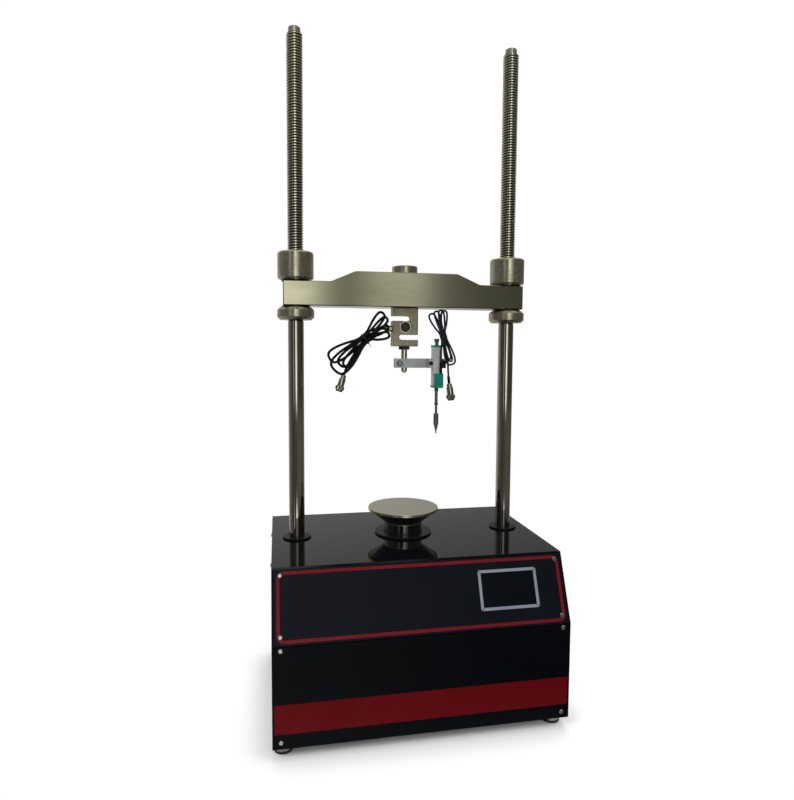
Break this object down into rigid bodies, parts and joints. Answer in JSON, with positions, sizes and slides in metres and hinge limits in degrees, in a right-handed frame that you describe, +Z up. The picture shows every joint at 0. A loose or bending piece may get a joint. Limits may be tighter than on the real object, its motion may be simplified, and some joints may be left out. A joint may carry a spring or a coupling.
{
  "type": "triaxial test apparatus",
  "caption": "Bench load frame for triaxial soil tests: a console with a driven platen, threaded columns, an adjustable crosshead, a load cell and a displacement transducer.",
  "frame": {"origin": "on the floor, under the middle of the console", "axes": "+X to the right seen from the front, +Y to the back, +Z up"},
  "size_m": [0.524, 0.37, 1.267],
  "materials": {
    "gloss_black_paint": "gloss",
    "panel_black_paint": "satin",
    "zinc_sheet": "satin",
    "raw_steel": "satin",
    "bright_screws": "polished",
    "plated_fasteners": "satin",
    "foot_steel": "satin",
    "column_chrome": "polished",
    "platen_steel": "satin",
    "black_oxide": "satin",
    "nickel_plate": "satin",
    "cell_steel": "satin",
    "bronze": "satin",
    "machined_aluminium": "satin",
    "plunger_steel": "satin",
    "connector_nickel": "satin",
    "green_plastic": "satin",
    "cable_black": "matte",
    "screen_black": "gloss",
    "black_plastic": "matte",
    "motor_black": "satin",
    "supply_case": "satin",
    "board_green": "satin"
  },
  "bodies": {
    "console": {"base_plate": "zinc_sheet", "corner_posts": "raw_steel", "load_plate": "raw_steel", "top_cover": "gloss_black_paint", "left_side_panel": "panel_black_paint", "right_side_panel": "panel_black_paint", "control_panel": "panel_black_paint", "lower_front_panel": "panel_black_paint", "rear_panel": "panel_black_paint", "touch_screen": "screen_black", "panel_screws": "bright_screws", "foot_lock_nuts": "plated_fasteners", "left_column": "column_chrome", "right_column": "column_chrome", "column_collars": "black_oxide", "column_anchor_nuts": "plated_fasteners", "ram_collar": "black_oxide", "jack_housing": "raw_steel", "guide_bush": "bronze", "drive_plate": "machined_aluminium", "drive_motor": "motor_black", "timing_belt": "cable_black", "power_supply": "supply_case", "control_board": "board_green", "power_inlet": "black_plastic", "signal_sockets": "connector_nickel"},
    "ram": {"ram": "column_chrome", "platen": "platen_steel", "ram_nut": "bronze"},
    "screw": {"lead_screw": "raw_steel", "jack_pulley": "machined_aluminium"},
    "motor_rotor": {"motor_pulley": "machined_aluminium"},
    "crosshead": {"crosshead": "nickel_plate", "centre_bolt": "nickel_plate", "load_cell": "cell_steel", "load_cell_gland": "connector_nickel", "loading_stud": "column_chrome", "stud_lock_nut": "plated_fasteners", "load_cell_cable": "cable_black", "load_cell_hank": "cable_black", "load_cell_plug": "connector_nickel"},
    "upper_left_nut": {"left_upper_nut": "nickel_plate"},
    "upper_right_nut": {"right_upper_nut": "nickel_plate"},
    "lower_left_nut": {"left_lower_nut": "nickel_plate"},
    "lower_right_nut": {"right_lower_nut": "nickel_plate"},
    "bracket": {"bracket_bar": "machined_aluminium", "clamp_block": "black_oxide", "bracket_screws": "black_oxide"},
    "transducer": {"transducer_body": "machined_aluminium", "transducer_caps": "green_plastic", "cable_sleeve": "cable_black", "transducer_cable": "cable_black", "transducer_hank": "cable_black", "transducer_plug": "connector_nickel"},
    "plunger": {"plunger": "plunger_steel"},
    "front_left_foot": {"front_left_foot": "foot_steel"},
    "front_right_foot": {"front_right_foot": "foot_steel"},
    "rear_left_foot": {"rear_left_foot": "foot_steel"},
    "rear_right_foot": {"rear_right_foot": "foot_steel"},
    "rocker": {"power_rocker": "black_plastic"}
  },
  "joints": [
    {"name": "screw_spin", "type": "hinge", "parent": "console", "child": "screw", "pos_m": [0, 0.026, 0.1], "axis": [0, 0, 1], "range_deg": [-5906, 1226]},
    {"name": "ram_slide", "type": "slide", "parent": "console", "child": "ram", "axis": [0, 0, 1], "range_m": [-0.017, 0.082]},
    {"name": "motor_spin", "type": "hinge", "parent": "console", "child": "motor_rotor", "pos_m": [0.15, 0.026, 0.07], "axis": [0, 0, 1], "range_deg": [-17718, 3678]},
    {"name": "upper_left_nut_spin", "type": "hinge", "parent": "crosshead", "child": "upper_left_nut", "pos_m": [-0.2115, 0.026, 0.83], "axis": [0, 0, 1], "range_deg": [-1, 28082]},
    {"name": "upper_right_nut_spin", "type": "hinge", "parent": "crosshead", "child": "upper_right_nut", "pos_m": [0.2115, 0.026, 0.83], "axis": [0, 0, 1], "range_deg": [-1, 28082]},
    {"name": "lower_left_nut_spin", "type": "hinge", "parent": "crosshead", "child": "lower_left_nut", "pos_m": [-0.2115, 0.026, 0.745], "axis": [0, 0, 1], "range_deg": [-1, 28082]},
    {"name": "lower_right_nut_spin", "type": "hinge", "parent": "crosshead", "child": "lower_right_nut", "pos_m": [0.2115, 0.026, 0.745], "axis": [0, 0, 1], "range_deg": [-1, 28082]},
    {"name": "crosshead_slide", "type": "slide", "parent": "console", "child": "crosshead", "axis": [0, 0, 1], "range_m": [0, 0.39]},
    {"name": "bracket_swivel", "type": "hinge", "parent": "crosshead", "child": "bracket", "pos_m": [0, 0.026, 0.65], "axis": [0, 0, 1], "range_deg": [-60, 60]},
    {"name": "transducer_slide", "type": "slide", "parent": "bracket", "child": "transducer", "axis": [0, 0, 1], "range_m": [-0.02, 0.004]},
    {"name": "plunger_slide", "type": "slide", "parent": "transducer", "child": "plunger", "axis": [0, 0, 1], "range_m": [0, 0.0225], "stiffness_N_per_m": 30, "springref_m": -0.03},
    {"name": "front_left_foot_spin", "type": "hinge", "parent": "console", "child": "front_left_foot", "pos_m": [-0.242, -0.149, 0.01], "axis": [0, 0, 1], "continuous": true},
    {"name": "front_right_foot_spin", "type": "hinge", "parent": "console", "child": "front_right_foot", "pos_m": [0.242, -0.149, 0.01], "axis": [0, 0, 1], "continuous": true},
    {"name": "rear_left_foot_spin", "type": "hinge", "parent": "console", "child": "rear_left_foot", "pos_m": [-0.242, 0.151, 0.01], "axis": [0, 0, 1], "continuous": true},
    {"name": "rear_right_foot_spin", "type": "hinge", "parent": "console", "child": "rear_right_foot", "pos_m": [0.242, 0.151, 0.01], "axis": [0, 0, 1], "continuous": true},
    {"name": "rocker_tilt", "type": "hinge", "parent": "console", "child": "rocker", "pos_m": [0.178, 0.1731, 0.11], "axis": [1, 0, 0], "range_deg": [0, 16]}
  ],
  "couplings": [
    {"joint": "screw_spin", "follows": "ram_slide", "rad_per_m": -1256.6},
    {"joint": "motor_spin", "follows": "ram_slide", "rad_per_m": -3769.9},
    {"joint": "upper_left_nut_spin", "follows": "crosshead_slide", "rad_per_m": 1256.6},
    {"joint": "upper_right_nut_spin", "follows": "crosshead_slide", "rad_per_m": 1256.6},
    {"joint": "lower_left_nut_spin", "follows": "crosshead_slide", "rad_per_m": 1256.6},
    {"joint": "lower_right_nut_spin", "follows": "crosshead_slide", "rad_per_m": 1256.6}
  ]
}
